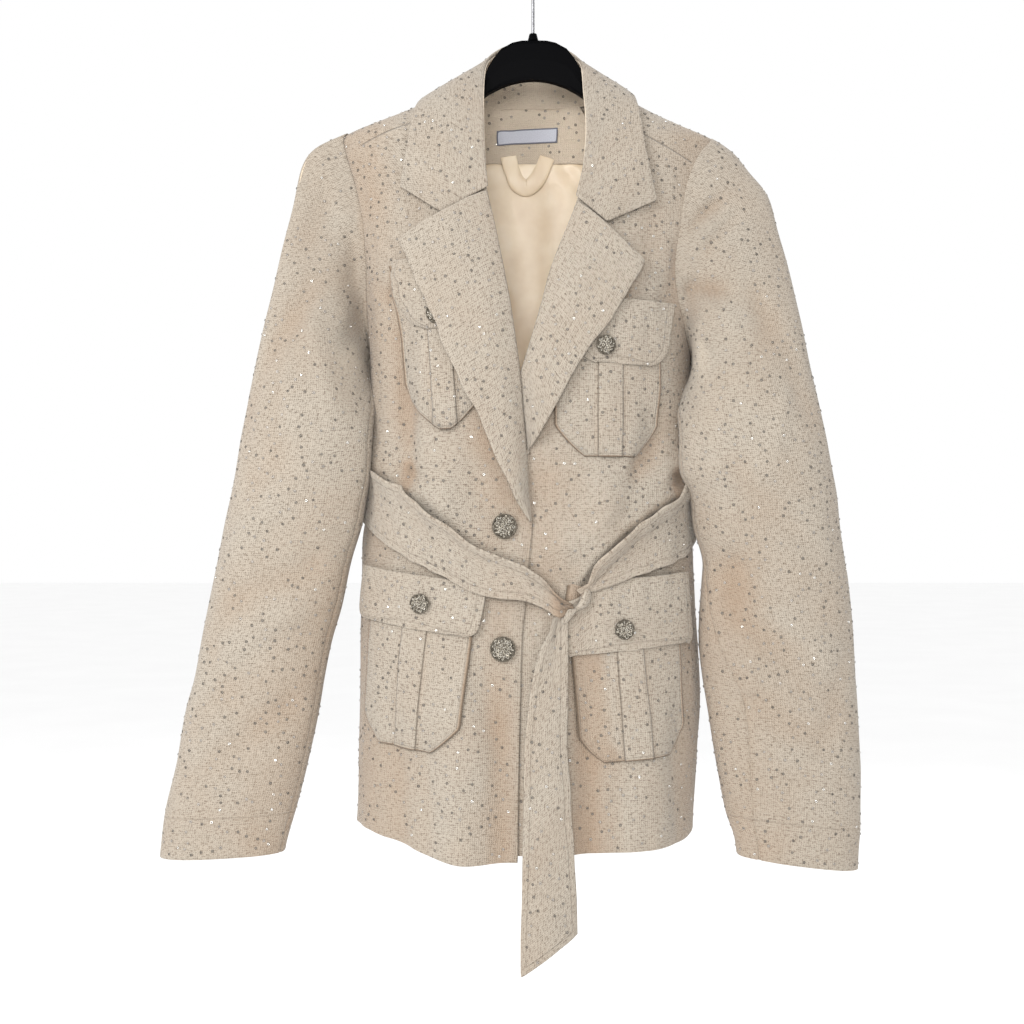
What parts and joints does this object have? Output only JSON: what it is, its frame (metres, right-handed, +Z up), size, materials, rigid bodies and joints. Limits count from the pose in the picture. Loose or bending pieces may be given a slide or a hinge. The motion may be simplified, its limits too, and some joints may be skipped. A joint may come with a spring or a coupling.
{
  "type": "belted blazer on a clothes hanger",
  "caption": "Single-breasted belted tweed blazer with notched lapels and flapped patch pockets, hanging on a moulded clothes hanger.",
  "frame": {"origin": "inside of the hook's top, where a rail carries it", "axes": "+Z up, the front faces -Y, the wearer's left is +X"},
  "size_m": [0.651, 0.1929, 0.9281],
  "materials": {
    "tweed": "ivory boucle tweed strewn with small ring sequins",
    "lining": "cream satin",
    "label": "woven, blank, with a dark stitched border",
    "button": "silver-toned dome with a raised pattern",
    "hanger_plastic": "black, half matte",
    "hook_steel": "plain bright wire"
  },
  "bodies": {
    "root": {"front_right": "tweed", "front_left": "tweed", "back": "tweed", "sleeve_right_top": "tweed", "sleeve_right_under": "tweed", "sleeve_left_top": "tweed", "sleeve_left_under": "tweed", "lapel_right": "tweed", "lapel_left": "tweed", "collar_fall": "tweed", "collar_stand": "tweed", "neck_facing": "tweed", "pocket_chest_right": "tweed", "pocket_chest_left": "tweed", "pocket_hip_right": "tweed", "pocket_hip_left": "tweed", "flap_chest_right": "tweed", "flap_chest_left": "tweed", "flap_hip_right": "tweed", "flap_hip_left": "tweed", "belt_front_right": "tweed", "belt_front_left": "tweed", "belt_back": "tweed", "belt_tail": "tweed", "belt_tail_inner": "tweed", "belt_knot": "tweed", "lining_back": "lining", "hanging_loop": "lining", "label": "label", "button_front_upper": "button", "button_front_lower": "button", "button_chest_right": "button", "button_chest_left": "button", "button_hip_right": "button", "button_hip_left": "button", "hanger_body": "hanger_plastic", "hanger_ferrule": "hanger_plastic", "hanger_hook": "hook_steel"}
  },
  "joints": []
}
